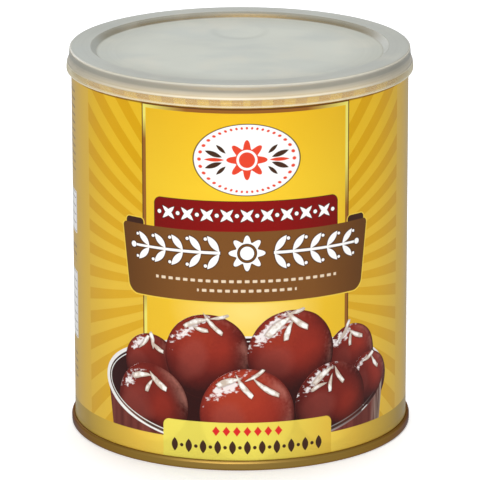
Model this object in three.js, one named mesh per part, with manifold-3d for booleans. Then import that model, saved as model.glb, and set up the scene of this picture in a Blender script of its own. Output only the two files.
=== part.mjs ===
import * as THREE from 'three';
import { mergeVertices } from 'three/addons/utils/BufferGeometryUtils.js';
import Module from 'manifold-3d';

// A shut, printed food tin with a translucent push-on lid, about one kilogram
// of sweets in syrup. Millimetres, +Z up. The origin is on the tin's axis, in
// the plane of its standing rim, and the front of the label faces -Y.

const wasm = await Module();
wasm.setup();

// Driving dimensions
const gap = 0.3;              // clearance between neighbouring pieces
const tinHeight = 116.1;      // standing rim to the top of the upper seam

const seam = {
  lowerRadius: 51.6,          // outside of the lower double seam
  upperRadius: 50.3,          // the upper one is rolled in, under the lid
  height: 2.9,
  rounding: 0.45,
  standingFlat: 0.6,          // flat that the tin stands on
};

const wall = {
  radius: 50.55,              // outside of the printed wall
  neckRadius: 49.5,           // where it tapers in under the upper seam
  neckHeight: 1.3,
  neckShoulder: 0.25,         // the taper's first, steeper part: inwards
  neckShoulderHeight: 0.7,    // and upwards
  edge: 0.3,                  // thickness of the wall at its two ends
};

const end = {
  chuckTop: 49.2,             // the end dips in from the seam's inner edge
  chuckEdge: 0.7,             // width and height of that edge's slope
  grooveRadius: 46.3,         // foot of the chuck wall
  grooveWidth: 1.7,
  grooveDepth: 5.4,
  panelLift: 1.5,             // panel above the groove
  panelRadius: 43.2,
  plate: 0.8,                 // metal and contents kept behind the groove
  backInner: 47.3,            // cone of the end's hidden side
  backOuter: 49.9,
};

const lowerSteps = [[20.5, 0.5], [32.5, -0.5]];   // radius and rise of each panel step
const stepSlope = 0.5;        // half the width of a step's slope
const tearLine = { radius: 41.6, depth: 0.25, halfWidth: 0.3 };
const ringBead = { radius: 38.6, height: 0.5, halfTop: 0.6, halfFoot: 1.2 };

const lid = {
  top: 117.2,                 // flat ring around the recess
  wall: 0.8,
  recess: 1.6,                // depth of the stacking recess
  recessFloor: 43.0,
  recessRim: 44.65,
  wallShift: 0.5,             // the recess slope's inner face is this much wider
  shoulder: 51.4,
  shoulderRounding: 0.85,
  innerChamfer: 0.4,
  ridge: 113.5,               // height of the step part way down the skirt
  ridgeDrop: 0.25,            // height of the step's slope
  aboveRidge: 51.55,          // outside of the skirt above the step
  belowRidge: 51.8,           // and below it
  ridgeInnerDrop: 0.6,        // height of the same slope inside, lower down
  lip: 51.98,
  lipHeight: 110.5,           // lower edge of the lid
  lipRounding: 0.3,
};

const tab = {
  centre: 23.5,               // middle of the ring-pull, behind the axis
  length: 25,
  heelWidth: 18,              // the end that is lifted
  noseWidth: 12,              // the end held by the rivet
  thickness: 1.3,
  bevel: 0.3,
  holeLength: 9,
  holeWidth: 11,
  holeShift: 0.6,             // finger hole's middle, towards the heel
  rivetRadius: 2.3,
  rivetFlare: 0.3,
  rivetHeight: 1.9,
  rivetInset: 4.6,            // rivet back from the nose
};

const turnSteps = 80;         // facets around the tin and the lid
const hiddenTurnSteps = 56;   // facets around the end under the lid
const arcSteps = 3;           // facets of a rounded corner
const tabArcSteps = 12;
const mergeDistance = 1e-4;

const printedWall = new THREE.MeshStandardMaterial({ color: 0xd2a335, roughness: 0.4, metalness: 0.1 });
const goldLacquer = new THREE.MeshStandardMaterial({ color: 0x9c7a3c, roughness: 0.35, metalness: 0.9 });
const tabMetal = new THREE.MeshStandardMaterial({ color: 0xc9c6bd, roughness: 0.35, metalness: 0.9 });
const lidPlastic = new THREE.MeshStandardMaterial({
  color: 0xd8dad2, roughness: 0.45, metalness: 0, transparent: true, opacity: 0.75,
});

// Points of a corner's arc about (r, z), between two angles in degrees
function corner(r, z, radius, from, to) {
  const points = [];
  for (let i = 0; i <= arcSteps; i++) {
    const angle = THREE.MathUtils.degToRad(from + (to - from) * i / arcSteps);
    points.push([r + radius * Math.cos(angle), z + radius * Math.sin(angle)]);
  }
  return points;
}

// Outer half of a rolled seam, from its lower to its upper edge
function seamArcs(radius, bottom, top) {
  const r = radius - seam.rounding;
  return [
    ...corner(r, bottom + seam.rounding, seam.rounding, -90, 0),
    ...corner(r, top - seam.rounding, seam.rounding, 0, 90),
  ];
}

// A closed solid of revolution about Z. The profile runs from the axis at the
// bottom, outwards, up, and back to the axis at the top.
function turned(name, profile, steps, material) {
  const points = profile.map(([r, z]) => new THREE.Vector2(r, z));
  const geometry = new THREE.LatheGeometry(points, steps);
  geometry.rotateX(Math.PI / 2);
  const mesh = new THREE.Mesh(geometry, material);
  mesh.name = name;
  return mesh;
}

// three.js geometry to a manifold solid, and back
function toSolid(geometry) {
  const bare = geometry.index ? geometry.toNonIndexed() : geometry.clone();
  bare.deleteAttribute('normal');
  bare.deleteAttribute('uv');
  const merged = mergeVertices(bare, mergeDistance);
  return new wasm.Manifold(new wasm.Mesh({
    numProp: 3,
    vertProperties: new Float32Array(merged.attributes.position.array),
    triVerts: new Uint32Array(merged.index.array),
  }));
}

function toGeometry(solid) {
  const { vertProperties, triVerts } = solid.getMesh();
  const geometry = new THREE.BufferGeometry();
  geometry.setAttribute('position', new THREE.BufferAttribute(vertProperties, 3));
  geometry.setIndex(new THREE.BufferAttribute(triVerts, 1));
  geometry.computeVertexNormals();
  return geometry;
}

// Printed wall with its contents as one solid: it dips round both ends
function canBody() {
  const foot = seam.height + gap;
  const floor = end.grooveDepth + end.plate;
  const neckTop = tinHeight - foot;
  const neckBottom = neckTop - wall.neckHeight;
  const dip = end.backInner + gap;
  return turned('can_body', [
    [0, floor],
    [dip + gap, floor],
    [wall.radius - wall.edge, foot],
    [wall.radius, foot],
    [wall.radius, neckBottom],
    [wall.radius - wall.neckShoulder, neckBottom + wall.neckShoulderHeight],
    [wall.neckRadius, neckTop],
    [wall.neckRadius - wall.edge, neckTop],
    [dip, tinHeight - floor - gap],
    [0, tinHeight - floor - gap],
  ], turnSteps, printedWall);
}

// Lower end: seam, standing rim, chuck wall, groove and a panel with steps
function bottomEnd() {
  const groove = end.grooveDepth;
  const panel = groove - end.panelLift;
  const rimInner = seam.lowerRadius - seam.rounding - seam.standingFlat;
  const back = groove + end.plate - gap;
  const panelProfile = [[0, panel]];
  let height = panel;
  for (const [radius, rise] of lowerSteps) {
    panelProfile.push([radius - stepSlope, height], [radius + stepSlope, height + rise]);
    height += rise;
  }
  return turned('bottom_end', [
    ...panelProfile,
    [end.panelRadius, panel],
    [end.grooveRadius - end.grooveWidth, groove],
    [end.grooveRadius, groove],
    [end.chuckTop, end.chuckEdge],
    [rimInner, 0],
    ...seamArcs(seam.lowerRadius, 0, seam.height),
    [end.backOuter, seam.height],
    [end.backInner, back],
    [0, back],
  ], turnSteps, goldLacquer);
}

// Upper easy-open end, under the lid: seam, groove, tear line and raised ring
function topEnd() {
  const groove = tinHeight - end.grooveDepth;
  const panel = groove + end.panelLift;
  const seamBottom = tinHeight - seam.height;
  const back = groove - end.plate;
  const bead = ringBead;
  return turned('top_end', [
    [0, back],
    [end.backInner, back],
    [wall.neckRadius - 2 * wall.edge, seamBottom],
    ...seamArcs(seam.upperRadius, seamBottom, tinHeight),
    [end.chuckTop, tinHeight],
    [end.chuckTop - end.chuckEdge, tinHeight - end.chuckEdge],
    [end.grooveRadius, groove],
    [end.grooveRadius - end.grooveWidth, groove],
    [end.panelRadius, panel],
    [tearLine.radius + tearLine.halfWidth, panel],
    [tearLine.radius, panel - tearLine.depth],
    [tearLine.radius - tearLine.halfWidth, panel],
    [bead.radius + bead.halfFoot, panel],
    [bead.radius + bead.halfTop, panel + bead.height],
    [bead.radius - bead.halfTop, panel + bead.height],
    [bead.radius - bead.halfFoot, panel],
    [0, panel],
  ], hiddenTurnSteps, goldLacquer);
}

// Egg-shaped outline with its wide end towards -Y, as two joined half rounds
function eggOutline(length, heelWidth, noseWidth) {
  const heel = heelWidth / 2;
  const nose = noseWidth / 2;
  const outline = new THREE.Shape();
  outline.absellipse(0, heel - length / 2, heel, heel, Math.PI, 2 * Math.PI, false);
  outline.absellipse(0, length / 2 - nose, nose, nose, 0, Math.PI, false);
  outline.closePath();
  return outline;
}

// Ring-pull: bevelled plate with a finger hole, held by a round rivet
function pullTab() {
  const floor = tinHeight - end.grooveDepth + end.panelLift + gap;
  const trim = 2 * tab.bevel;
  const outline = eggOutline(tab.length - trim, tab.heelWidth - trim, tab.noseWidth - trim);
  const holeCentre = (tab.heelWidth - tab.length) / 2 - tab.holeShift;
  const hole = new THREE.Path();
  hole.absellipse(0, holeCentre, tab.holeWidth / 2, tab.holeLength / 2, 0, 2 * Math.PI, true);
  outline.holes.push(hole);
  const plate = new THREE.ExtrudeGeometry(outline, {
    depth: tab.thickness - trim,
    bevelEnabled: true,
    bevelThickness: tab.bevel,
    bevelSize: tab.bevel,
    bevelSegments: 1,
    curveSegments: tabArcSteps,
  });
  plate.translate(0, tab.centre, floor + tab.bevel);
  const rivet = new THREE.CylinderGeometry(tab.rivetRadius, tab.rivetRadius + tab.rivetFlare,
    tab.rivetHeight, 2 * tabArcSteps);
  rivet.rotateX(Math.PI / 2);
  rivet.translate(0, tab.centre + tab.length / 2 - tab.rivetInset, floor + tab.rivetHeight / 2);
  const mesh = new THREE.Mesh(toGeometry(toSolid(plate).add(toSolid(rivet))), tabMetal);
  mesh.name = 'pull_tab';
  return mesh;
}

// Plastic lid: recessed panel, flat ring, rounded shoulder and a flared skirt
// with a ridge, all of about one wall thickness
function plasticLid() {
  const floor = lid.top - lid.recess;
  const underside = lid.top - lid.wall;
  const inner = lid.shoulder - lid.wall;
  const ridgeFoot = lid.ridge - lid.ridgeDrop;
  return turned('lid', [
    [0, floor - lid.wall],
    [lid.recessFloor + lid.wallShift, floor - lid.wall],
    [lid.recessRim + lid.wallShift, underside],
    [inner - lid.innerChamfer, underside],
    [inner, underside - lid.innerChamfer],
    [inner, ridgeFoot],
    [inner + lid.innerChamfer, ridgeFoot - lid.ridgeInnerDrop],
    [lid.lip - lid.wall, lid.lipHeight],
    ...corner(lid.lip - lid.lipRounding, lid.lipHeight + lid.lipRounding, lid.lipRounding, -90, 0),
    [lid.belowRidge, ridgeFoot],
    [lid.aboveRidge, lid.ridge],
    ...corner(lid.shoulder - lid.shoulderRounding, lid.top - lid.shoulderRounding,
      lid.shoulderRounding, 0, 90),
    [lid.recessRim, lid.top],
    [lid.recessFloor, floor],
    [0, floor],
  ], turnSteps, lidPlastic);
}

const tin = new THREE.Group();
tin.add(canBody(), bottomEnd(), topEnd(), pullTab(), plasticLid());

export default tin;
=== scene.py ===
import math

import bmesh
import bpy
import numpy as np
from mathutils import Matrix, Vector


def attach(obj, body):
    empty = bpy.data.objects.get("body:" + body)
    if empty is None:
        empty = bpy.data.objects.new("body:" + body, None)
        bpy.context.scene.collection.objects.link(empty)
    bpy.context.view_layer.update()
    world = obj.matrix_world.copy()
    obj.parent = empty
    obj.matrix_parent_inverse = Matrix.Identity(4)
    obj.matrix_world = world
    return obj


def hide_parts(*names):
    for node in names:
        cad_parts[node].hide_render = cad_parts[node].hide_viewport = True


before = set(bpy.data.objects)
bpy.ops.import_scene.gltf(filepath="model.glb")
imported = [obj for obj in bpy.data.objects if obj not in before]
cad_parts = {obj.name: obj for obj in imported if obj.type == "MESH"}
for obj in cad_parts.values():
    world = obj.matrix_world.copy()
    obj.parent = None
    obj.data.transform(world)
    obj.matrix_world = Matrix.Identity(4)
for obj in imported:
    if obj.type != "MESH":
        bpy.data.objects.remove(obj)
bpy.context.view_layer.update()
mm = 0.001


def srgb(r, g, b):
    # display colour, 0 to 255, to the linear colour that the shaders take
    c = np.array([r, g, b]) / 255
    return tuple(np.where(c <= 0.04045, c / 12.92, ((c + 0.055) / 1.055) ** 2.4)) + (1.0,)


def rounded(points, steps=6, guard=0.06, straight=1.55):
    # profile of (r, z, radius): each corner becomes an arc that is tangent to both
    # of its sides, with one more point on each side to keep the flats flat; a corner whose
    # half angle is over straight, in radians, stays as it is
    pts = [np.array(p[:2], float) for p in points]
    out = [pts[0]]
    for i in range(1, len(points) - 1):
        radius = points[i][2] if len(points[i]) > 2 else 0
        here, back, ahead = pts[i], pts[i - 1] - pts[i], pts[i + 1] - pts[i]
        back, ahead = back / np.linalg.norm(back), ahead / np.linalg.norm(ahead)
        half = math.acos(np.clip(back @ ahead, -1, 1)) / 2
        if radius == 0 or half > straight:
            out.append(here)
            continue
        reach = radius / math.tan(half)
        centre = here + (back + ahead) / np.linalg.norm(back + ahead) * radius / math.sin(half)
        start, stop = here + back * reach - centre, here + ahead * reach - centre
        turn = math.atan2(start[0] * stop[1] - start[1] * stop[0], start @ stop)
        a = np.linspace(0, turn, steps + 1)
        arc = centre + np.outer(np.cos(a), start) + np.outer(np.sin(a), (-start[1], start[0]))
        out += [here + back * (reach + guard), *arc, here + ahead * (reach + guard)]
    return np.array(out + [pts[-1]])


def meshPiece(name, verts, faces, material):
    mesh = bpy.data.meshes.new(name)
    mesh.from_pydata(np.asarray(verts) * mm, [], faces)
    mesh.polygons.foreach_set("use_smooth", np.full(len(faces), True))
    mesh.materials.append(material)
    mesh.update()
    piece = bpy.data.objects.new(name, mesh)
    bpy.context.collection.objects.link(piece)
    return piece


def outward(piece):
    mesh = bmesh.new()
    mesh.from_mesh(piece.data)
    bmesh.ops.recalc_face_normals(mesh, faces=mesh.faces)
    mesh.to_mesh(piece.data)
    mesh.free()


def turned(profile, steps):
    # the profile (r, z) carried round Z: point (i, j) is r_i at angle j, with the
    # first and last profile points on the axis, where the rows close to poles
    r, z = profile[1:-1, 0], profile[1:-1, 1]
    a = np.arange(steps) * 2 * math.pi / steps
    grid = np.stack([np.outer(r, np.sin(a)), np.outer(r, -np.cos(a)), np.outer(z, np.ones(steps))], -1)
    verts = np.vstack([grid.reshape(-1, 3), [0, 0, profile[0, 1]], [0, 0, profile[-1, 1]]])
    i, j = np.meshgrid(np.arange(len(r) - 1), np.arange(steps), indexing="ij")
    k = (j + 1) % steps
    quads = np.stack([i * steps + j, i * steps + k, (i + 1) * steps + k, (i + 1) * steps + j], -1)
    foot, head, last = len(verts) - 2, len(verts) - 1, (len(r) - 1) * steps
    j = np.arange(steps)
    k = (j + 1) % steps
    low = np.stack([np.full(steps, foot), k, j], -1)
    high = np.stack([last + j, last + k, np.full(steps, head)], -1)
    return verts, quads.reshape(-1, 4).tolist() + low.tolist() + high.tolist()


class Field:
    # a number that varies over a surface; sums and products of fields are Math nodes
    def __init__(self, tree, source):
        self.tree, self.source = tree, source

    def math(self, operation, *values, clamp=False):
        node = self.tree.nodes.new("ShaderNodeMath")
        node.operation, node.use_clamp = operation, clamp
        for socket, value in zip(node.inputs, values):
            if isinstance(value, Field):
                self.tree.links.new(value.source, socket)
            else:
                socket.default_value = value
        return Field(self.tree, node.outputs[0])

    def __add__(self, other):
        return self.math("ADD", self, other)

    __radd__ = __add__

    def __sub__(self, other):
        return self.math("SUBTRACT", self, other)

    def __rsub__(self, other):
        return self.math("SUBTRACT", other, self)

    def __mul__(self, other):
        return self.math("MULTIPLY", self, other)

    __rmul__ = __mul__

    def __truediv__(self, other):
        return self.math("DIVIDE", self, other)

    def __rtruediv__(self, other):
        return self.math("DIVIDE", other, self)

    def __abs__(self):
        return self.math("ABSOLUTE", self)

    def __pow__(self, other):
        return self.math("POWER", self, other)

    def most(self, other):
        return self.math("MAXIMUM", self, other)

    def least(self, other):
        return self.math("MINIMUM", self, other)

    def root(self):
        return self.math("SQRT", self)

    def sine(self):
        return self.math("SINE", self)

    def cosine(self):
        return self.math("COSINE", self)

    def wrapped(self, period):
        # distance from the nearest whole period, from -period / 2 to period / 2
        return self.math("WRAP", self, period / 2, -period / 2)

    def inside(self, soft=0.12):
        # 1 where the field is under zero, 0 where it is over, across a soft edge
        return self.math("MULTIPLY_ADD", self, -1 / soft, 0.5, clamp=True)

    def ramp(self, start, stop):
        # 0 before start, 1 past stop
        return self.math("MULTIPLY_ADD", self, 1 / (stop - start), -start / (stop - start), clamp=True)


class Place:
    # a vector that varies over a surface
    def __init__(self, tree, source):
        self.tree, self.source = tree, source

    def math(self, operation, *values):
        node = self.tree.nodes.new("ShaderNodeVectorMath")
        node.operation = operation
        for socket, value in zip(node.inputs, (self, *values)):
            if isinstance(value, Place):
                self.tree.links.new(value.source, socket)
            else:
                socket.default_value = value
        return node

    def times(self, factor, shift):
        return Place(self.tree, self.math("MULTIPLY_ADD", factor, shift).outputs["Vector"])

    def length(self):
        return Field(self.tree, self.math("LENGTH").outputs["Value"])

    def over(self, other, mask):
        # this vector where the mask is 1 and the other where it is 0; the vectors of a Mix node
        # are its inputs 4 and 5 and its output 1
        mix = self.tree.nodes.new("ShaderNodeMix")
        mix.data_type = "VECTOR"
        for socket, source in ((mix.inputs["Factor"], mask.source), (mix.inputs[4], other.source),
                               (mix.inputs[5], self.source)):
            self.tree.links.new(source, socket)
        return Place(self.tree, mix.outputs[1])

    def parts(self):
        split = self.tree.nodes.new("ShaderNodeSeparateXYZ")
        self.tree.links.new(self.source, split.inputs[0])
        return [Field(self.tree, out) for out in split.outputs]


def joined(tree, x, y):
    # the vector (x, y, 0)
    node = tree.nodes.new("ShaderNodeCombineXYZ")
    tree.links.new(x.source, node.inputs[0])
    tree.links.new(y.source, node.inputs[1])
    return Place(tree, node.outputs[0])


def length(x, y):
    # square root of x^2 + y^2
    return (x * x + y * y).root()


def box(x, y, halfX, halfY, radius=0.0):
    # distance outside a rectangle with rounded corners, for x and y from its middle: with
    # q = |x| - half + radius it is |q| where q is over 0, plus the larger q under 0, less radius
    qx, qy = abs(x) - (halfX - radius), abs(y) - (halfY - radius)
    if radius == 0:
        return qx.most(qy)
    return length(qx.most(0), qy.most(0)) + qx.most(qy).least(0) - radius


def lozenge(x, y, halfX, halfY):
    # |x| / halfX + |y| / halfY - 1, brought to about a distance in mm
    return (abs(x) * (1 / halfX) + abs(y) * (1 / halfY) - 1) * (0.5 * min(halfX, halfY))


def leaf(x, y, angle, halfLength, halfWidth):
    # pointed leaf through the origin of x and y, turned by an angle in degrees: its edge is
    # |across| = halfWidth * (1 - (along / halfLength)^2)
    c, s = math.cos(math.radians(angle)), math.sin(math.radians(angle))
    along, across = x * c + y * s, y * c - x * s
    return abs(across) + along * along * (halfWidth / halfLength ** 2) - halfWidth


class Print:
    # a stack of colours on one surface, each laid over the last through a mask
    def __init__(self, tree, colour, shine=None):
        self.tree, self.top, self.shine = tree, colour, shine

    def cover(self, mask):
        # opaque ink hides the metal under it
        self.shine = self.shine * (1 - mask)

    def lay(self, mask, colour, share=1.0):
        # the colours of a Mix node are its inputs 6 and 7 and its output 2
        mix = self.tree.nodes.new("ShaderNodeMix")
        mix.data_type = "RGBA"
        self.tree.links.new((mask * share if share < 1 else mask).source, mix.inputs["Factor"])
        for socket, value in ((mix.inputs[6], self.top), (mix.inputs[7], colour)):
            if isinstance(value, tuple):
                socket.default_value = value
            else:
                self.tree.links.new(value, socket)
        self.top = mix.outputs[2]


def blended(tree, colours, share):
    # colour ramp over a field: a list of (position, colour)
    ramp = tree.nodes.new("ShaderNodeValToRGB")
    elements = ramp.color_ramp.elements
    while len(elements) < len(colours):
        elements.new(0.5)
    for element, (position, colour) in zip(elements, colours):
        element.position, element.color = position, colour
    tree.links.new(share.source, ramp.inputs[0])
    return ramp.outputs[0]


def noise(tree, scale, detail, stretch=(1, 1, 1)):
    # noise over the object's own metres
    coords = tree.nodes.new("ShaderNodeTexCoord")
    mapping = tree.nodes.new("ShaderNodeMapping")
    mapping.inputs["Scale"].default_value = stretch
    texture = tree.nodes.new("ShaderNodeTexNoise")
    texture.inputs["Scale"].default_value = scale
    texture.inputs["Detail"].default_value = detail
    tree.links.new(coords.outputs["Object"], mapping.inputs[0])
    tree.links.new(mapping.outputs[0], texture.inputs["Vector"])
    return Field(tree, texture.outputs[0])


def places(tree):
    # the object's own x, y and z, in mm
    coords, split = tree.nodes.new("ShaderNodeTexCoord"), tree.nodes.new("ShaderNodeSeparateXYZ")
    tree.links.new(coords.outputs["Object"], split.inputs[0])
    return [Field(tree, out) * (1 / mm) for out in split.outputs]


def slanted(tree, least):
    # cosine of the view's angle to the surface's normal, and never under the least
    facing = tree.nodes.new("ShaderNodeLayerWeight")
    facing.inputs["Blend"].default_value = 0.5
    return (1 - Field(tree, facing.outputs["Facing"])).most(least)


def surface(name, **settings):
    material = bpy.data.materials.new(name)
    material.use_nodes = True
    shader = material.node_tree.nodes["Principled BSDF"]
    for socket, value in settings.items():
        shader.inputs[socket.replace("_", " ")].default_value = value
    return material, material.node_tree, shader


def bump(tree, shader, height, strength, distance):
    node = tree.nodes.new("ShaderNodeBump")
    node.inputs["Strength"].default_value = strength
    node.inputs["Distance"].default_value = distance
    tree.links.new(height.source, node.inputs["Height"])
    tree.links.new(node.outputs[0], shader.inputs["Normal"])


# metres, degrees and mm of lens; elevation says where the camera stands, pitch where it looks
cameraAt = dict(distance=1.3120, height=0.05676, elevation=15.855, pitch=15.874,
                roll=-0.11, side=-0.00007, lens=324.5, clip=(0.1, 200))


def makeCamera():
    data = bpy.data.cameras.new("camera")
    data.lens = cameraAt["lens"]
    data.clip_start, data.clip_end = cameraAt["clip"]
    camera = bpy.data.objects.new("camera", data)
    bpy.context.collection.objects.link(camera)
    rise = math.radians(cameraAt["elevation"])
    place = (cameraAt["side"], -cameraAt["distance"] * math.cos(rise),
             cameraAt["distance"] * math.sin(rise) + cameraAt["height"])
    tilt = Matrix.Rotation(math.radians(90 - cameraAt["pitch"]), 4, "X")
    roll = Matrix.Rotation(math.radians(cameraAt["roll"]), 4, "Z")
    camera.matrix_world = Matrix.Translation(place) @ tilt @ roll
    bpy.context.scene.camera = camera


studio = dict(
    world=(0.96, 0.98, 1.0), worldStrength=0.40,
    target=(0, 0, 0.06),
    # name: place, size, power, colour
    softboxes={
        "front": ((-0.38, -2.1, 1.3), 1.3, 28.2, (1.0, 0.98, 0.95)),
        "top": ((0.1, 0.4, 2.4), 0.9, 31, (1.0, 1.0, 1.0)),
        "back": ((-1.1, 2.1, 1.0), 1.3, 10, (1.0, 1.0, 1.0)),
    },
    floorSize=120.0, floor=(0.90, 0.91, 0.93, 1.0), floorGlow=0.30,
)


def makeLamps():
    for name, (place, size, power, colour) in studio["softboxes"].items():
        light = bpy.data.lights.new(name, "AREA")
        light.shape, light.size, light.energy, light.color = "SQUARE", size, power, colour
        lamp = bpy.data.objects.new(name, light)
        bpy.context.collection.objects.link(lamp)
        lamp.location = place
        aim = Vector(studio["target"]) - lamp.location
        lamp.rotation_euler = aim.to_track_quat("-Z", "Y").to_euler()


def makeFloor():
    material, _, _ = surface("floorPaper", Base_Color=studio["floor"], Roughness=0.9,
                             Specular_IOR_Level=0.2, Emission_Color=(1, 1, 1, 1),
                             Emission_Strength=studio["floorGlow"])
    half = studio["floorSize"] / 2 / mm
    corners = [(-half, -half, 0), (half, -half, 0), (half, half, 0), (-half, half, 0)]
    floor = meshPiece("floor", corners, [(0, 1, 2, 3)], material)
    floor.visible_glossy = False      # the tin mirrors the studio's grey, not the white paper


def makeStudio():
    scene = bpy.context.scene
    scene.view_settings.view_transform = "Standard"
    world = bpy.data.worlds.new("studio")
    scene.world = world
    world.use_nodes = True
    background = world.node_tree.nodes["Background"]
    background.inputs["Color"].default_value = (*studio["world"], 1)
    background.inputs["Strength"].default_value = studio["worldStrength"]
    makeLamps()
    makeFloor()


makeCamera()
makeStudio()
print("camera and studio made")

wall = dict(
    radius=50.55, foot=2.92, footInside=50.25, flare=0.16, flareHeight=1.4,
    floor=6.2, floorRadius=47.9, ceiling=109.6, ceilingRadius=47.6,
    neckBottom=111.6, neckTop=112.9, neckRadius=49.6, neckInside=49.2, steps=288,
    middle=2.0, weldAt=81.8, weldHalf=3.0,      # of the label and the weld, mm along the wall
    # height and half width of a painted shadow line under the lid's lip
    lidShadow=109.9, lidShadowHalf=0.3,
    shownFrom=50.3,                             # radius from which the wall is in sight
)

labelHigh = 110      # mm, for the ramps that run up the label

rays = dict(middle=58.5, first=2.5, every=7.05, reach=57)     # height, degrees, degrees and mm

inks = dict(
    yellow=srgb(226, 184, 62), rayLight=srgb(230, 188, 60), rayDark=srgb(219, 169, 36),
    rayLightTop=srgb(229, 184, 34), rayDarkTop=srgb(216, 163, 4), rayShade=srgb(176, 122, 28),
    panelTop=srgb(240, 190, 32), panelMiddle=srgb(249, 205, 46), panelLow=srgb(245, 198, 46),
    glow=srgb(250, 225, 130), frameLine=srgb(97, 56, 24), framePale=srgb(235, 225, 110),
    # redShaded and brownShaded: the banners' colours with painted shade, for their sides
    frameBrown=srgb(150, 95, 35), white=srgb(245, 243, 240), red=srgb(133, 6, 1), redShaded=srgb(114, 4, 0),
    brown=srgb(119, 75, 31), brownShaded=srgb(92, 55, 18), fold=srgb(60, 33, 20),
    outline=srgb(240, 203, 74), motifRed=srgb(222, 66, 40), motifDark=srgb(66, 40, 24),
    caption=srgb(226, 205, 176), shade=srgb(112, 84, 34),
    # the foot band's gradient, at mm from the label's middle line
    band=((0, srgb(255, 240, 100)), (35, srgb(230, 190, 70)), (60, srgb(170, 140, 50))),
    tab=srgb(232, 217, 90), tabSide=srgb(220, 182, 64), tabRed=srgb(215, 40, 35), tin=srgb(178, 176, 170),
)

fruit = dict(
    # back ones first: middle x and z, radius, darkness
    balls=((-30.0, 31.0, 9.0, 0.10), (34.0, 32.0, 9.6, 0.06), (-12.0, 34.8, 13.0, -0.02),
           (13.6, 35.4, 13.4, 0.02), (41.5, 23.0, 8.4, 0.12), (-29.8, 18.6, 12.6, 0.32),
           (27.0, 18.6, 13.2, 0.34), (0.0, 17.0, 14.4, -0.16)),
    # shavings on them: middle x and z, angle, half length, half width
    slivers=((-32.0, 37.0, 50, 2.8, 0.60), (-29.2, 38.0, 100, 2.6, 0.60), (-27.8, 36.0, -35, 2.6, 0.65),
             (-15.2, 45.4, 200, 4.2, 0.80), (-10.4, 44.6, -48, 4.4, 0.66), (-8.2, 46.8, 12, 3.0, 0.55),
             (-13.8, 43.0, -14, 2.4, 0.70),
             (9.2, 44.2, 218, 4.8, 1.20), (14.8, 45.2, -40, 4.6, 0.90), (12.2, 42.4, 250, 3.2, 0.85),
             (14.8, 48.0, 15, 2.8, 0.55),
             (31.4, 39.8, 58, 3.8, 0.55), (35.4, 38.0, -28, 3.3, 0.70), (33.2, 37.0, 265, 2.2, 0.55),
             (41.0, 29.6, 25, 2.8, 0.62), (43.8, 27.6, -52, 2.8, 0.58),
             (-33.2, 26.8, 192, 3.6, 0.85), (-27.6, 25.4, -40, 3.8, 0.95), (-30.6, 24.0, 240, 2.4, 0.60),
             (23.4, 27.6, 215, 4.2, 0.95), (28.9, 26.6, -58, 3.2, 0.72), (25.9, 24.6, 262, 2.8, 0.62),
             (22.0, 24.2, 200, 2.8, 0.66),
             (-5.6, 27.4, 198, 3.8, 0.90), (-1.2, 25.6, -55, 4.4, 0.80), (5.4, 25.0, -36, 5.0, 0.80),
             (2.4, 28.9, 32, 3.4, 0.55)),
    light=(-0.22, 0.50, 0.74),     # across, up and forwards
    bowl=(0.8, 24.0, 47.8, 17.0), taper=0.14,      # middle x and z, half width and half depth
    skin=((0, srgb(48, 11, 8)), (0.22, srgb(84, 21, 15)), (0.48, srgb(107, 29, 20)),
          (0.72, srgb(130, 38, 25)), (1, srgb(164, 55, 32))),
    patch=srgb(156, 78, 68), patchRed=srgb(166, 50, 31), sheen=srgb(208, 134, 118),
    frost=srgb(244, 238, 236),
    shadow=srgb(46, 10, 8), edge=srgb(46, 10, 8), gap=srgb(48, 12, 9),
    sliver=srgb(244, 241, 236), sliverDim=srgb(196, 178, 162),
    steel=srgb(236, 234, 230), steelDark=srgb(104, 84, 70),
    glass=srgb(84, 32, 27), glassPale=srgb(122, 60, 50),
    ribDark=srgb(70, 50, 42), ribPale=srgb(176, 160, 146),
)


def layRays(p, tree, x, z):
    # rays from one point on the middle line: the angle is cut into equal wedges, light and dark
    up = z - rays["middle"]
    angle = up.math("ARCTAN2", up, abs(x)) * (180 / math.pi) - rays["first"]
    wedge = (abs(angle.wrapped(rays["every"])) - rays["every"] / 4) * length(x, up) * (math.pi / 180)
    inField = (abs(x) - rays["reach"]).inside(0.3)
    high = z * (1 / labelHigh)
    light = blended(tree, [(0.5, inks["rayLight"]), (0.85, inks["rayLightTop"])], high)
    dark = blended(tree, [(0.5, inks["rayDark"]), (0.85, inks["rayDarkTop"])], high)
    p.lay(inField, light)
    p.lay(wedge.inside(0.2) * inField, dark)
    p.lay(wedge.inside(0.2) * z.ramp(110, 110.4), inks["rayShade"], 0.3)     # seen through the lid's skirt
    p.lay(abs(x).ramp(44, 72), inks["shade"], 0.28)


panel = dict(halfX=32.4, top=109.9, line=0.35, strip=1.35)      # line and strip from the edge in


def layFrame(p, tree, x, z):
    # upright panel: a thin dark line, a strip that shines in places, and a yellow field
    edge = (abs(x) - panel["halfX"]).most(z - panel["top"])
    left = z.ramp(99, 106).most(z.ramp(56, 46))
    right = z.ramp(78, 92)
    shine = left + (right - left) * x.ramp(-1, 1)
    head = (z - abs(x)).ramp(77.2, 77.6)
    shine = shine * (1 - head) + abs(x).ramp(18, 32) * head
    strip = blended(tree, [(0, inks["frameBrown"]), (1, inks["framePale"])], shine)
    field = blended(tree, [(0, inks["panelLow"]), (0.42, inks["panelLow"]), (0.78, inks["panelMiddle"]),
                           (1, inks["panelTop"])], z * (1 / labelHigh))
    glow = length(x * (1 / 24), (z - 49) * (1 / 13)).ramp(1, 0.1)
    inner = (edge + panel["strip"]).inside()
    p.lay(edge.inside(), inks["frameLine"])
    p.lay((edge + panel["line"]).inside(), strip)
    p.lay(inner, field)
    p.lay(abs(x).ramp(6, 33) * inner, inks["shade"], 0.15)
    p.lay(glow * inner, inks["glow"], 0.8)


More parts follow.
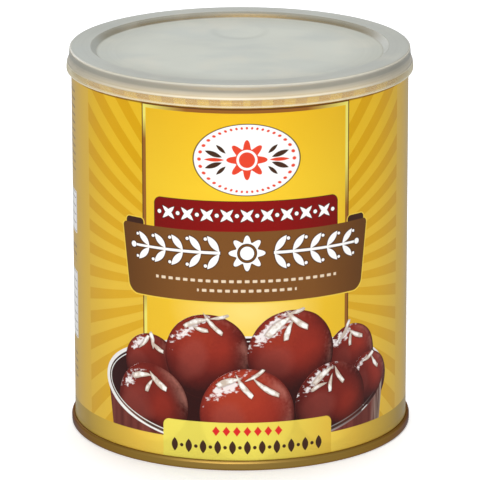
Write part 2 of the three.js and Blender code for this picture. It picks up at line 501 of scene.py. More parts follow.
medallion = dict(height=94.7, halfX=15.6, halfZ=10.6, mean=12, line=0.28,
                 dots=40, dotRing=0.9, dotReach=11.5, dot=0.42,
                 petals=8, petalReach=4.7, petalDepth=1.3, ring=2.7, ringHalf=0.35)


def layMedallion(p, x, z):
    # plain white oval with a brown line and a ring of dots round its edge, a sprig of leaves on
    # both sides, and a red rosette whose edge is petalReach + petalDepth * cos(petals * angle)
    m = medallion
    z = z - m["height"]
    turn, around = z.math("ARCTAN2", z, x), length(x * (1 / m["halfX"]), z * (1 / m["halfZ"]))
    oval = (around - 1) * m["mean"]
    p.lay((oval - m["line"]).inside(0.2), inks["fold"])
    p.lay(oval.inside(0.2), inks["white"])
    p.cover(oval.inside(0.2))
    step = abs(turn).wrapped(2 * math.pi / m["dots"])
    dots = length(step * m["dotReach"], (around - m["dotRing"]) * m["dotReach"]) - m["dot"]
    p.lay(dots.inside(0.2), inks["motifRed"])
    r = length(x, z)
    petals = r - m["petalReach"] - (turn * m["petals"]).cosine() * m["petalDepth"]
    ring = abs(r - m["ring"]) - m["ringHalf"]
    p.lay(petals.inside() * (1 - ring.inside()), inks["motifRed"])
    ax, az = abs(x), abs(z)
    sprig = leaf(ax - 9.8, az - 1.7, 20, 2.7, 0.75).least(leaf(ax - 7.6, az - 3.2, 42, 1.9, 0.55))
    p.lay(sprig.inside(), inks["motifDark"])
    p.lay(leaf(ax - 9.6, z, 0, 3.0, 0.55).inside(), inks["motifRed"])


redBanner = dict(height=72.15, shape=(28.15, 10, 2), line=0.18, row=77.9, rowHalf=27.2, cell=5.9,
                 leaf=(2.6, 0.68), dot=0.6)      # shape is half width, half height and corner


def layRedBanner(p, tree, x, z):
    # red bar with round corners, and a row of crossed leaves with dots between them
    b = redBanner
    shape = box(x, z - b["height"], *b["shape"])
    p.lay((shape - b["line"]).inside(), inks["fold"])
    # red, darker towards the sides with painted shade
    p.lay(shape.inside(), blended(tree, [(0.2, inks["red"]), (1, inks["redShaded"])], abs(x) * (1 / 30)))
    p.cover(shape.inside())
    cell, z = x.wrapped(b["cell"]), z - b["row"]
    one, other = leaf(cell, z, 45, *b["leaf"]), leaf(cell, z, -45, *b["leaf"])
    dots = length(abs(cell) - b["cell"] / 2, z) - b["dot"]
    row = one.least(other).least(dots).most(abs(x) - b["rowHalf"])
    p.lay((row - b["line"]).inside(), inks["fold"])
    p.lay(row.inside(), inks["white"])


# each shape is half width, half height and corner
brownBanner = dict(foldAt=(35.2, 73.1), fold=(3.2, 1.8, 1.2), height=62.4, taper=0.123,
                   low=(38.5, 10.7, 3.2), high=(38.5, 6.7, 1.5), highUp=4,
                   line=0.35, lineShape=(38.85, 10.7, 3.3), lineTop=10.5, garlandUp=4.2)


def layBrownBanner(p, tree, x, z):
    # brown band wider at its top, with dark folds behind it, over the panel and the red bar
    b, ax = brownBanner, abs(x)
    foldX, foldZ = b["foldAt"]
    folds = box(ax - foldX, z - foldZ, *b["fold"])
    p.lay((folds - 0.3).inside(), inks["outline"])
    p.lay(folds.inside(), inks["fold"])
    z = z - b["height"]
    slope = ax - z * b["taper"]
    shape = box(slope, z, *b["low"]).least(box(slope, z - b["highUp"], *b["high"]))
    around = (shape - b["line"]).least(box(slope, z + b["line"], *b["lineShape"]))
    p.lay(around.most(z - b["lineTop"]).inside(), inks["outline"])
    # brown, darker towards the sides with painted shade
    p.lay(shape.inside(), blended(tree, [(0, inks["brown"]), (0.5, inks["brown"]), (1, inks["brownShaded"])],
                                  ax * (1 / 40)))
    p.cover(shape.inside())
    layGarland(p, x, z - b["garlandUp"])
    layCaption(p, x, z - b["garlandUp"])


garland = dict(petals=8, petalReach=4.4, petalDepth=1.0, ring=2.5, ringHalf=0.45,
               first=9.5, cell=5.5, stem=0.42, start=7.9, end=34.6, tip=35.6)


def layGarland(p, x, z):
    # a rosette in the middle, and on both sides a stem with slanted pairs of leaves that get
    # smaller towards the ends, buds between them and a dot at the tip
    g, ax = garland, abs(x)
    turn, r = z.math("ARCTAN2", z, x), length(x, z)
    petals = r - g["petalReach"] - (turn * g["petals"]).cosine() * g["petalDepth"]
    rosette = petals.most(g["ringHalf"] - abs(r - g["ring"]))
    az, cell = abs(z) / (1.12 - ax * 0.008), (ax - g["first"]).wrapped(g["cell"])
    leaves = leaf(cell - 0.4, az - 2.6, 52, 2.9, 1.0)
    buds = length(abs(cell) - g["cell"] / 2, az - 4.0) - 0.5
    branch = (az - g["stem"]).least(leaves).least(buds).most(ax - g["end"]).most(g["start"] - ax)
    motif = rosette.least(branch).least(length(ax - g["tip"], z) - 0.9)
    p.lay((motif - 0.3).inside(0.25), inks["fold"], 0.8)
    p.lay(motif.inside(), inks["white"])


# how far under the garland each row is, and its half width; dash as half sizes and corner
caption = dict(cell=2.3, dash=(0.68, 0.42, 0.2), first=(8.6, 27.8), second=(11.5, 14.8))


def layCaption(p, x, z):
    # two rows of short dashes, the lower one shorter and moved by half a cell
    c = caption
    down, half = c["first"]
    first = box(x.wrapped(c["cell"]), z + down, *c["dash"]).most(abs(x) - half)
    down, half = c["second"]
    second = box((x + c["cell"] / 2).wrapped(c["cell"]), z + down, *c["dash"]).most(abs(x) - half)
    p.lay(first.least(second).inside(0.2), inks["caption"])


def layBowl(p, tree, x, z, front):
    # glass bowl: an ellipse for its mouth, a wall below it that tapers, a steel line for its rim;
    # the distance outside the ellipse is k * (k - 1) / m, k = |b / half| and m = |b / half^2|
    cx, cz, halfX, halfZ = fruit["bowl"]
    bx, bz = x - cx, z - cz
    across = length(bx * (1 / halfX), bz * (1 / halfZ))
    mouth = (across - 1) * across / length(bx * (1 / halfX ** 2), bz * (1 / halfZ ** 2)).most(0.001)
    side = abs(bx) + bz * -fruit["taper"] - halfX
    rim = (abs(mouth) - 0.3 - bx.ramp(-32, -44) * 0.3).least(abs(mouth + 1.3) - 0.14)
    if not front:
        p.lay(mouth.inside(), fruit["gap"])
        p.lay(rim.inside(), fruit["steel"])
        return
    below = side.most(bz).most(-1 * mouth)
    streaks = noise(tree, 1, 1, (420, 420, 9)).ramp(0.3, 0.72)
    p.lay(below.inside(), blended(tree, [(0, fruit["glass"]), (1, fruit["glassPale"])], streaks))
    ribs = noise(tree, 1, 2, (900, 900, 60)).ramp(0.42, 0.62)
    ribbed = blended(tree, [(0, fruit["ribDark"]), (1, fruit["ribPale"])], ribs)
    p.lay(below.inside() * side.ramp(-5, -1) * bx.ramp(0, 1), ribbed, 0.8)
    low = (abs(mouth + 0.9) - 0.75).most(bz - 4)
    p.lay(low.inside() * bx.ramp(44, 4), fruit["steelDark"], 0.55)
    p.lay(rim.most(bz - 4).inside() * bx.ramp(44, -24), fruit["steel"])


def layPicture(p, tree, x, z):
    # a bowl of round dumplings: each takes over the place of those behind it, and one
    # shading is then worked out from the place within the ball that shows
    layBowl(p, tree, x, z, front=False)
    slow, drift, grain = noise(tree, 45, 2), noise(tree, 60, 2, (1, 1, 1.3)), noise(tree, 1100, 1)
    plane = joined(tree, x + (slow - 0.5) * 1.2, z + (drift - 0.5) * 1.2)
    spot, cover, shade = joined(tree, x * 0, z * 0), None, None
    for cx, cz, radius, dark in fruit["balls"]:
        local = plane.times((1 / radius, 1 / radius, 0), (-cx / radius, -cz / radius, dark))
        near = local.length()
        mask = ((near - 1) * radius).inside(0.1)
        fade = near.ramp(0.96, 1.5)
        cover = mask if cover is None else cover.most(mask)
        shade = fade if shade is None else shade * fade
        shade = shade.most(mask)
        spot = local.over(spot, mask)
    p.lay(cover, skinOf(tree, *spot.parts(), shade, slow, drift, grain))
    p.cover(cover)
    layBowl(p, tree, x, z, front=True)
    laySlivers(p, tree, x, z, cover)


def skinOf(tree, dx, dz, dark, shade, slow, drift, grain):
    # colour of a ball at (dx, dz) of its radius: light on a sphere, its normal being dx, dz and
    # the height of the sphere there, then two soft reflections, a sheen at the right and frost
    r, low, side = length(dx, dz), slow - 0.5, drift - 0.5
    across, up, forwards = fruit["light"]
    lit = dx * across + dz * up + (1 - r * r).most(0).root() * forwards
    tone = lit * 0.95 + low * 0.35 + (grain - 0.5) * 0.16 - dark
    skin = Print(tree, blended(tree, fruit["skin"], tone * (shade * 0.6 + 0.4)))
    pale = length((dx + low * 0.8 + 0.36) * 2.3, (dz + side * 0.8 + 0.14) * 2.0).ramp(1.05, 0.6)
    skin.lay(pale * (shade * 0.7 + 0.3), fruit["patch"], 0.27)
    warm = length((dx + side * 0.9 - 0.34) * 2.1, (dz - low * 0.8 + 0.02) * 2.0).ramp(1.25, 0.3)
    skin.lay(warm * (shade * 0.8 + 0.2), fruit["patchRed"], 0.45)
    band = r.ramp(0.52, 0.88) * r.ramp(0.99, 0.90) * (dx * 0.88 + dz * 0.48).ramp(0.45, 0.85)
    skin.lay(band * (drift + (grain - 0.5) * 0.16).ramp(0.44, 0.62), fruit["sheen"], 0.38)
    broken = noise(tree, 640, 3, (1, 1, 1.5))
    c, s = math.cos(math.radians(36)), math.sin(math.radians(36))
    along, off = (dx + 0.42) * c + (dz - 0.62) * s, (dz - 0.62) * c - (dx + 0.42) * s
    frost = length(along * (1 / 0.34), off * (1 / 0.10)) - 1 + (broken - 0.5) * 5 + (0.5 - drift) * 4
    skin.lay(frost.inside(0.7), fruit["frost"], 0.85)
    skin.lay(r.ramp(0.95, 1.0), fruit["edge"], 0.4)
    return skin.top


def shaving(x, y, angle, halfLength, halfWidth):
    # flat blade through the origin of x and y, bent a little: pointed at its start, widest past
    # its middle by a parabola, and cut off at a slant at its end
    c, s = math.cos(math.radians(angle)), math.sin(math.radians(angle))
    along, across = x * c + y * s, y * c - x * s
    bend, wide = along * along * (0.12 / halfLength), along * (1 / halfLength) - 0.3
    return (abs(across - bend) + wide * wide * (0.55 * halfWidth) - halfWidth).most(
        abs(along + across * 0.5) - halfLength)


def laySlivers(p, tree, x, z, cover):
    x, z = x + (noise(tree, 520, 2) - 0.5) * 0.5, z + (noise(tree, 480, 2) - 0.5) * 0.5
    flake = None
    for cx, cz, angle, halfLength, halfWidth in fruit["slivers"]:
        one = shaving(x - cx, z - cz, angle, halfLength, halfWidth)
        flake = one if flake is None else flake.least(one)
    p.lay((flake - 0.25).inside(0.4) * cover, fruit["shadow"], 0.5)
    shine = noise(tree, 420, 3) - (flake + 0.25).ramp(-0.25, 0.25) * 0.22
    p.lay(flake.inside(), blended(tree, [(0.34, fruit["sliverDim"]), (0.54, fruit["sliver"])], shine))


foot = dict(band=9.2, span=80, tabAt=(0.3, 4.6), tab=(26, 10, 2), upper=11.9, upperCell=3.1,
            upperHalf=10.8, lower=6.9, lowerCell=4.4, lowerHalf=23.2)


def layFoot(p, tree, x, z):
    # pale band along the foot, and a tab that rises from it with two rows of motifs
    f, ax = foot, abs(x)
    band = (z - f["band"]).inside()
    stops = [(at / f["span"], colour) for at, colour in inks["band"]]
    p.lay(band, blended(tree, stops, ax * (1 / f["span"])))
    p.lay(band * x.ramp(18, 40), inks["shade"], 0.14)
    tabX, tabZ = f["tabAt"]
    tabInk = blended(tree, [(0.53, inks["tab"]), (0.82, inks["tabSide"])], x * (1 / f["span"]) + 0.5)
    p.lay(box(x - tabX, z - tabZ, *f["tab"]).inside(), tabInk)
    upper = lozenge(x.wrapped(f["upperCell"]), z - f["upper"], 1.15, 1.5).most(ax - f["upperHalf"])
    p.lay(upper.inside(), inks["tabRed"])
    cell, z = x.wrapped(f["lowerCell"]), z - f["lower"]
    lower = leaf(cell, z, 90, 2.1, 1.0).least(length(abs(cell) - f["lowerCell"] / 2, z) - 0.55)
    p.lay(lower.most(ax - f["lowerHalf"]).inside(), inks["motifDark"])


sidePanel = dict(at=-77, first=68.5, firstShape=(10.5, 6.5, 0.6),
                 second=39.5, secondShape=(10.5, 10.5, 0.6),
                 rule=2.6, ruleHalf=9.3, mark=(1.7, 2.4), markShape=(0.55, 0.35, 0.2), markHalf=9.8)


def laySidePanel(p, x, z):
    # two white boxes with rules, and rows of short marks between them
    s = sidePanel
    boxes = box(x, z - s["first"], *s["firstShape"]).least(box(x, z - s["second"], *s["secondShape"]))
    p.lay(boxes.inside(), inks["white"])
    rules = (abs(z.wrapped(s["rule"])) - 0.12).most(abs(x) - s["ruleHalf"]).most(boxes + 0.9)
    p.lay(rules.least(abs(boxes + 0.5) - 0.1).inside(), inks["motifDark"])
    everyX, everyZ = s["mark"]
    rows = box(x.wrapped(everyX), z.wrapped(everyZ), *s["markShape"]).most(abs(x) - s["markHalf"])
    band = (abs(z - 94) - 13.5).least(abs(z - 56) - 3).least(abs(z - 20.5) - 5)
    p.lay(rows.most(band).inside(0.2), inks["motifDark"], 0.85)


def printMaterial():
    material, tree, shader = surface("printedTinplate", Roughness=0.3, Specular_IOR_Level=0.02,
                                     Coat_Weight=0.55, Coat_Roughness=0.06, Coat_IOR=1.5)
    px, py, z = places(tree)
    # mm along the wall from the front, and then the same face twice round the tin
    around = px.math("ARCTAN2", px, -1 * py) * wall["radius"]
    x = (around - wall["middle"]).wrapped(math.pi * wall["radius"])
    p = Print(tree, inks["yellow"], z * 0 + 1)
    layRays(p, tree, x, z)
    layFrame(p, tree, x, z)
    layMedallion(p, x, z)
    layRedBanner(p, tree, x, z)
    layBrownBanner(p, tree, x, z)
    layPicture(p, tree, x, z)
    layFoot(p, tree, x, z)
    laySidePanel(p, around - sidePanel["at"], z)
    # painted shadow under the lid's lip, then the bare strip with the weld
    p.lay((abs(z - wall["lidShadow"]) - wall["lidShadowHalf"]).inside(0.3), inks["frameLine"], 0.75)
    bare = (abs(around - wall["weldAt"]) - wall["weldHalf"]).inside()
    p.lay(bare, inks["tin"])
    tree.links.new(p.top, shader.inputs["Base Color"])
    tree.links.new((bare * 0.85 + 0.15 * p.shine).source, shader.inputs["Metallic"])
    print("print nodes:", len(tree.nodes))
    return material


# in shares of the map: its left margin and width, where the front and the back half start and
# how high they are, the strip for the turned-in metal, and the fans for the two flat discs
wallMap = dict(margin=0.01, width=0.98, front=0.535, back=0.01, high=0.455,
               strip=0.482, stripHigh=0.036, fanEdge=0.524, fanTip=0.53, nextFan=-0.052)


def mapWall(piece, profile, steps):
    # a map of its own: the front half of the wall fills the upper part of the map and the
    # back half the lower part, with the metal that is turned in at the ends in a strip between
    w, m = wall, wallMap
    quarter, half = steps // 4, steps // 2
    rows = len(profile) - 3
    r, z = profile[1:-1, 0], profile[1:-1, 1]
    share = (z - w["foot"]) / (w["neckTop"] - w["foot"])
    i, j = np.meshgrid(np.arange(rows), np.arange(steps), indexing="ij")
    place = (j + quarter) % steps
    back = place >= half
    place = np.where(back, place - half, place)
    shown = np.minimum(r[i], r[i + 1]) > w["shownFrom"]
    across = np.stack([place, place + 1, place + 1, place], -1) / half * m["width"] + m["margin"]
    up = np.stack([share[i], share[i], share[i + 1], share[i + 1]], -1)
    strip = np.stack([i, i, i + 1, i + 1], -1) / rows
    start = np.where(back[..., None], m["back"], m["front"])
    v = np.where(shown[..., None], start + up * m["high"], m["strip"] + strip * m["stripHigh"])
    quads = np.stack([across, v], -1).reshape(-1, 2)
    k = np.arange(steps)
    fanU = np.stack([k, k + 1, k + 0.5], -1) / steps * m["width"] + m["margin"]
    fanV = np.tile([m["fanEdge"], m["fanEdge"], m["fanTip"]], (steps, 1))
    fan = np.stack([fanU, fanV], -1)
    low, high = fan.reshape(-1, 2), (fan + (0, m["nextFan"])).reshape(-1, 2)
    layer = piece.data.uv_layers.new(name="OFBake")
    layer.data.foreach_set("uv", np.vstack([quads, low, high]).ravel())


def makeWall(material):
    w = wall
    profile = rounded([
        (0, w["floor"]),
        (w["floorRadius"], w["floor"]),
        (w["footInside"], w["foot"]),
        (w["radius"] + w["flare"], w["foot"], 0.05),
        (w["radius"] + w["flare"], w["foot"] + 0.3, 0.2),
        (w["radius"], w["foot"] + w["flareHeight"], 1.2),
        (w["radius"], w["neckBottom"], 0.8),
        (w["neckRadius"], w["neckTop"] - 0.1, 0.15),
        (w["neckInside"], w["neckTop"]),
        (w["ceilingRadius"], w["ceiling"]),
        (0, w["ceiling"]),
    ])
    verts, faces = turned(profile, w["steps"])
    piece = meshPiece("printedWall", verts, faces, material)
    mapWall(piece, profile, w["steps"])
    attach(piece, "root")
    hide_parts("can_body")


lowerEnd = dict(seam=51.6, top=3.06, groove=5.4, panel=3.9, beads=((20.5, 0.5), (32.5, -0.5)))


def makeLowerEnd(material):
    e = lowerEnd
    points = [(0, e["panel"])]
    height = e["panel"]
    for radius, rise in e["beads"]:
        points += [(radius - 0.6, height, 0.5), (radius + 0.6, height + rise, 0.5)]
        height += rise
    points += [
        (43.2, e["panel"], 0.6),
        (44.6, e["groove"], 0.6),
        (46.6, e["groove"], 0.8),
        (49.3, 0.7, 0.8),
        (50.45, 0, 0.5),
        (51.2, 0, 0.45),
        (e["seam"], 0.55, 0.7),
        (e["seam"], 2.2, 0.7),
        (51.3, e["top"], 0.45),
        (50.76, e["top"] - 0.08, 0.05),
        (50.7, e["top"] - 0.25),
        (49.9, e["top"] - 0.25),
        (47.4, 5.9),
        (0, 5.9),
    ]
    verts, faces = turned(rounded(points), 288)
    piece = meshPiece("lowerEnd", verts, faces, material)
    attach(piece, "root")
    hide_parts("bottom_end")


upperEnd = dict(seam=50.3, top=116.1, bottom=113.2, groove=110.7, panel=112.2)


def makeUpperEnd(material):
    e = upperEnd
    verts, faces = turned(rounded([
        (0, 109.9),
        (47.3, 109.9),
        (48.95, e["bottom"]),
        (50.0, e["bottom"], 0.3),
        (e["seam"], e["bottom"] + 0.5, 0.6),
        (e["seam"], e["top"] - 0.6, 0.7),
        (49.9, e["top"], 0.5),
        (48.9, e["top"], 0.5),
        (46.4, e["groove"], 0.8),
        (44.6, e["groove"], 0.7),
        (43.3, e["panel"], 0.6),
        (41.9, e["panel"], 0.1),
        (41.6, e["panel"] - 0.2, 0.08),
        (41.3, e["panel"], 0.1),
        (39.8, e["panel"], 0.6),
        (39.1, e["panel"] + 0.5, 0.6),
        (38.1, e["panel"] + 0.5, 0.6),
        (37.4, e["panel"], 0.6),
        (0, e["panel"]),
    ]), 240)
    piece = meshPiece("upperEnd", verts, faces, material)
    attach(piece, "root")
    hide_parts("top_end")


# heel and nose: y and radius; hole: y, half width and half length; web: half its thickness
ringPull = dict(heel=(20.0, 9.0), nose=(30.0, 6.0), hole=(19.4, 4.5, 5.5), floor=112.5,
                curl=0.62, web=0.24, rivetAt=31.4, rivet=2.3, rivetTop=114.4, rivetSteps=48,
                dimple=0.16, dimpleRing=3.6, dimpleWidth=0.5,
                steps=120, arcSteps=90, sideSteps=20, rollSteps=15, webSteps=6)


def makeRingPull(material):
    # cross-section (distance from the hole, height): a rolled edge at each end and a thin web
    # between them, carried round the hole while its width follows the egg-shaped outline
    t = ringPull
    steps, side = t["steps"], t["sideSteps"]
    holeY, holeX, holeLong = t["hole"]
    a = np.linspace(0, 2 * math.pi, steps, endpoint=False)
    arc = np.linspace(0, math.pi, t["arcSteps"])
    heelY, heel = t["heel"]
    noseY, nose = t["nose"]
    outlineX = np.concatenate([nose * np.cos(arc), np.linspace(-nose, -heel, side),
                               -heel * np.cos(arc), np.linspace(heel, nose, side)])
    outlineY = np.concatenate([noseY + nose * np.sin(arc), np.linspace(noseY, heelY, side),
                               heelY - heel * np.sin(arc), np.linspace(heelY, noseY, side)])
    bearing = np.arctan2(outlineY - holeY, outlineX)
    order = np.argsort(bearing)
    reach = np.hypot(outlineX, outlineY - holeY)[order]
    outer = np.interp(a, bearing[order], reach, period=2 * math.pi)
    inner = 1 / np.hypot(np.cos(a) / holeX, np.sin(a) / holeLong)
    curl, web, middle = t["curl"], t["web"], t["floor"] + t["curl"]
    opening = math.asin(web / curl)
    roll = np.linspace(opening, 2 * math.pi - opening, t["rollSteps"])
    share = np.linspace(0, 1, t["webSteps"] + 2)[1:-1]
    near = curl * (1 + np.cos(roll))
    width = (outer - inner)[:, None]
    start, stop = near[0], width - near[0]
    flat = start + (stop - start) * share
    across = np.hstack([np.tile(near[::-1], (steps, 1)), flat, width - near, flat[:, ::-1]])
    face = np.full(t["webSteps"], web)
    level = np.concatenate([np.sin(roll[::-1]) * curl, face, np.sin(roll) * curl, -face])
    away = inner[:, None] + across
    x, y = away * np.cos(a)[:, None], holeY + away * np.sin(a)[:, None]
    # a low ring round the rivet, dimple * exp(-(distance / dimpleWidth)^2) high
    ring = np.hypot(x, y - t["rivetAt"]) - t["dimpleRing"]
    z = middle + level + t["dimple"] * np.exp(-(ring / t["dimpleWidth"]) ** 2)
    count = x.shape[1]
    i, j = np.meshgrid(np.arange(steps), np.arange(count), indexing="ij")
    k, m = (i + 1) % steps, (j + 1) % count
    quads = np.stack([i * count + j, k * count + j, k * count + m, i * count + m], -1).reshape(-1, 4)
    body = np.stack([x, y, z], -1).reshape(-1, 3)
    pin, pinFaces = turned(rounded([
        (0, t["floor"]),
        (t["rivet"] + 0.3, t["floor"]),
        (t["rivet"] + 0.1, t["rivetTop"] - 0.5, 0.2),
        (t["rivet"], t["rivetTop"], 0.4),
        (1.2, t["rivetTop"], 0.3),
        (0.9, t["rivetTop"] - 0.35, 0.3),
        (0, t["rivetTop"] - 0.35),
    ]), t["rivetSteps"])
    pin = pin + (0, t["rivetAt"], 0)
    faces = quads.tolist() + [[corner + len(body) for corner in face] for face in pinFaces]
    piece = meshPiece("ringPull", np.vstack([body, pin]), faces, material)
    outward(piece)
    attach(piece, "root")
    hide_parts("pull_tab")


weld = dict(halfWidth=0.55, proud=0.10, sunk=0.15, foot=5.0, top=109.3,
            rows=60, arcPoints=13)


def makeWeld(material):
    # cross-section (along the wall, outwards): a low rounded bead with its back just inside
    # the wall, carried straight up at the weld's place on the wall
    w = weld
    q = np.linspace(0, math.pi, w["arcPoints"])
    along = np.concatenate([w["halfWidth"] * np.cos(q), [-w["halfWidth"], w["halfWidth"]]])
    out = np.concatenate([w["proud"] * np.sin(q), [-w["sunk"], -w["sunk"]]]) + wall["radius"]
    a = (wall["weldAt"] + along) / wall["radius"]
    rows, count = w["rows"], len(a)
    size = (rows, count)
    z = np.linspace(w["foot"], w["top"], rows)[:, None]
    x, y = np.broadcast_to(out * np.sin(a), size), np.broadcast_to(-out * np.cos(a), size)
    verts = np.stack([x, y, np.broadcast_to(z, size)], -1).reshape(-1, 3)
    i, j = np.meshgrid(np.arange(rows - 1), np.arange(count), indexing="ij")
    first, m = i * count, (j + 1) % count
    quads = np.stack([first + j, first + m, first + count + m, first + count + j], -1).reshape(-1, 4)
    caps = [list(range(count)), list(range((rows - 1) * count, rows * count))]
    piece = meshPiece("sideWeld", verts, quads.tolist() + caps, material)
    outward(piece)
    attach(piece, "root")


lid = dict(
    top=117.2, floor=115.6, wall=0.8, shoulder=51.02, waist=51.2, waistHeight=114.3, ridge=51.8,
    ridgeHeight=112.7, lip=51.98, lipHeight=110.5, corner=50.6,
    # from the middle out to the corner and then down the skirt, in mm along the plastic: its
    # colour, with painted highlights and painted shade where marked, the share of light that passes
    # straight through one wall, and its roughness
    plastic=(
        (30.0, (0.52, 0.535, 0.48), 0.50, 0.45),      # recess floor, with painted shade darkening it towards its edge
        (39.0, (0.45, 0.46, 0.41), 0.50, 0.45),
        (42.6, (0.43, 0.44, 0.39), 0.50, 0.45),
        (43.2, (0.25, 0.225, 0.155), 0.58, 0.35),      # recess wall: painted shade, the brown of the gold end's groove in shade under it
        (44.5, (0.25, 0.225, 0.155), 0.58, 0.35),
        (44.8, (0.41, 0.42, 0.385), 0.50, 0.35),      # flat ring
        (50.6, (0.42, 0.43, 0.39), 0.50, 0.3),
        (50.8, (0.88, 0.82, 0.66), 0.36, 0.2),      # corner: painted highlight
        (51.2, (0.60, 0.57, 0.48), 0.44, 0.2),
        (51.6, (0.42, 0.41, 0.345), 0.46, 0.3),      # skirt
        (52.7, (0.41, 0.40, 0.335), 0.46, 0.3),
        (53.2, (0.66, 0.625, 0.51), 0.48, 0.3),      # flare: turned up to the light, and painted lighter as well
        (53.9, (0.78, 0.71, 0.54), 0.48, 0.3),
        (54.3, (0.80, 0.66, 0.40), 0.54, 0.3),
        (54.45, (0.93, 0.88, 0.74), 0.30, 0.25),      # over the ridge: painted highlight
        (54.8, (0.93, 0.87, 0.70), 0.32, 0.25),
        (54.95, (0.74, 0.67, 0.46), 0.80, 0.3),      # under the ridge
        (56.75, (0.74, 0.66, 0.44), 0.80, 0.3),
        (56.95, (0.90, 0.82, 0.62), 0.50, 0.3),      # lip: painted highlight on its lower edge
        (57.4, (0.80, 0.72, 0.50), 0.55, 0.3),
    ),
    gloss=0.4, mottle=0.12, cool=(0.40, 0.43, 0.415, 1), warm=(0.58, 0.555, 0.47, 1),
    edgeShade=0.30, rings=0.022, span=60,
    plain=(0.37, 0.38, 0.345, 1), aside=(0.54, 0.50, 0.40, 1),      # groove and ridge seen at a slant, where their painted shade and painted highlight give way
    pullShadowY=24.5, pullShadowHalfX=8.0, pullShadowHalfY=10.0, pullShadowShade=0.15,     # painted shadow of the ring-pull under the panel
)


def makeLid():
    d = lid
    verts, faces = turned(rounded([
        (0, d["floor"] - d["wall"]),
        (43.5, d["floor"] - d["wall"], 0.5),
        (45.1, d["top"] - d["wall"], 0.5),
        (d["corner"], d["top"] - d["wall"], 0.4),
        (d["corner"] + 0.02, d["waistHeight"] - 0.9, 0.3),
        (51.0, d["ridgeHeight"] - 0.2, 0.3),
        (51.2, d["lipHeight"], 0.1),
        (d["lip"], d["lipHeight"], 0.25),
        (d["lip"], d["lipHeight"] + 0.9, 0.6),
        (d["ridge"], d["ridgeHeight"], 0.35),
        (d["waist"], d["waistHeight"], 1.2),
        (d["shoulder"], d["top"], 0.6),
        (44.65, d["top"], 0.4),
        (43.05, d["floor"], 0.4),
        (0, d["floor"]),
    ]), 288)
    piece = meshPiece("plasticLid", verts, faces, plasticMaterial())
    piece.visible_shadow = False      # milky plastic spreads the light and passes it on
    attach(piece, "root")
    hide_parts("lid")


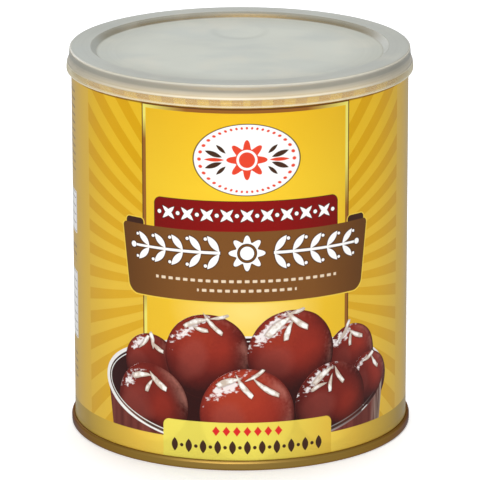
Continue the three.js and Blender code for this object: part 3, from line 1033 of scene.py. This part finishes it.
def plasticMaterial():
    # milky plastic: a slanted view passes more of it, so the clear share is raised to the
    # power of 1 / cosine of the view's angle
    d = lid
    material, tree, shader = surface("milkyPlastic", IOR=1.5, Specular_IOR_Level=d["gloss"])
    x, y, z = places(tree)
    r = length(x, y)
    along = r.least(d["corner"]) + (d["top"] - z) * r.ramp(d["corner"] - 0.2, d["corner"] - 0.1)
    span, share = d["span"], along * (1 / d["span"])
    # the plastic's colour along its profile, with the painted highlights and painted shade of the table
    own = blended(tree, [(at / span, (*colour, 1)) for at, colour, _, _ in d["plastic"]], share)
    clear, rough = (Field(tree, blended(tree, [(stop[0] / span, (stop[column],) * 3 + (1,))
                                               for stop in d["plastic"]], share))
                    for column in (2, 3))
    slant = slanted(tree, 0.06)
    p = Print(tree, own)
    panel = along.ramp(50.6, 50.0)
    p.lay(noise(tree, 30, 3, (1, 1.6, 1)).ramp(0.52, 0.66) * panel, d["cool"], 0.45)
    p.lay(noise(tree, 46, 3, (1.5, 1, 1)).ramp(0.54, 0.70) * panel, d["warm"], 0.35)
    # at a slant the groove's painted shade gives way to plain grey, and the painted light of the flare and
    # ridge to a dimmer tan
    groove = along.ramp(42.8, 43.1) * along.ramp(44.7, 44.5)
    p.lay(groove * slant.ramp(0.5, 0.3), d["plain"])
    flare = along.ramp(52.6, 53.2) * along.ramp(54.95, 54.85)
    p.lay(flare * slant.ramp(0.95, 0.5), d["aside"], 0.85)
    # brightness over the lid: random mottling, fine rings, a painted shadow of the ring-pull, and shade
    # towards the edges at a slant
    mottleAndShade = noise(tree, 34, 2) * (2 * d["mottle"]) + (1 - d["mottle"])
    waves = (r * 3.1).sine() * (r * 1.3).sine() * r.ramp(34, 38)
    # painted shadow of the ring-pull seen through the panel: an oval ring that fades out towards the lid's
    # back
    around = length(x * (1 / d["pullShadowHalfX"]), (y - d["pullShadowY"]) * (1 / d["pullShadowHalfY"]))
    pullShadow = (abs(around - 1) - 0.05).ramp(0.16, 0) * y.ramp(34, 8)
    mottleAndShade = mottleAndShade + waves * d["rings"] - pullShadow * d["pullShadowShade"]
    mottleAndShade = mottleAndShade * (1 - slant.ramp(0.9, 0.4) * r.ramp(50.4, 50.8) * d["edgeShade"])
    tint = tree.nodes.new("ShaderNodeVectorMath")
    tint.operation = "SCALE"
    tree.links.new(p.top, tint.inputs[0])
    tree.links.new(mottleAndShade.source, tint.inputs["Scale"])
    tree.links.new(tint.outputs[0], shader.inputs["Base Color"])
    tree.links.new((1 - clear ** (1 / slant)).source, shader.inputs["Alpha"])
    tree.links.new(rough.source, shader.inputs["Roughness"])
    bump(tree, shader, noise(tree, 240, 3), 0.05, 0.0004)
    return material


# seamShadeFrom to seamShadeTo: heights of the painted shade on the lower seam's upper edge; seamShade: its
# depth
lacquer = dict(colour=srgb(206, 168, 88), depth=0.5, least=0.15, seamShadeFrom=2.3, seamShadeTo=2.9, seamShade=0.42)


def lacquerMaterial():
    # tinplate under gold varnish: a slanted view goes through more of it, so each channel of its
    # colour is raised to 1 - depth + depth / cosine of the view's angle
    material, tree, shader = surface("goldLacquer", Metallic=1.0)
    power = (1 - lacquer["depth"]) + lacquer["depth"] / slanted(tree, lacquer["least"])
    z = places(tree)[2]
    # painted shade, and more roughness, on the upper edge of the lower seam
    shadedAndRough = z.ramp(lacquer["seamShadeFrom"], lacquer["seamShadeTo"]) * z.ramp(3.3, 3.2)
    mix = tree.nodes.new("ShaderNodeCombineColor")
    for channel, socket in zip(lacquer["colour"], mix.inputs):
        shade = power.math("POWER", channel, power) * (1 - shadedAndRough * lacquer["seamShade"])
        tree.links.new(shade.source, socket)
    tree.links.new(mix.outputs[0], shader.inputs["Base Color"])
    streaks = noise(tree, 1500, 3, (0.05, 0.05, 1))
    tree.links.new((streaks * 0.3 + 0.24 + shadedAndRough * 0.25).source, shader.inputs["Roughness"])
    bump(tree, shader, streaks, 0.06, 0.0002)
    return material


def steelMaterial():
    material, tree, shader = surface("brushedSteel", Base_Color=srgb(196, 196, 192), Metallic=1.0)
    grain = noise(tree, 160, 4, (9, 1, 1))
    tree.links.new((grain * 0.25 + 0.22).source, shader.inputs["Roughness"])
    bump(tree, shader, grain, 0.08, 0.0002)
    return material


makeWall(printMaterial())
gold = lacquerMaterial()
makeLowerEnd(gold)
makeUpperEnd(gold)
makeLid()
steel = steelMaterial()
makeRingPull(steel)
makeWeld(steel)
print("tin, lid and ring-pull made")
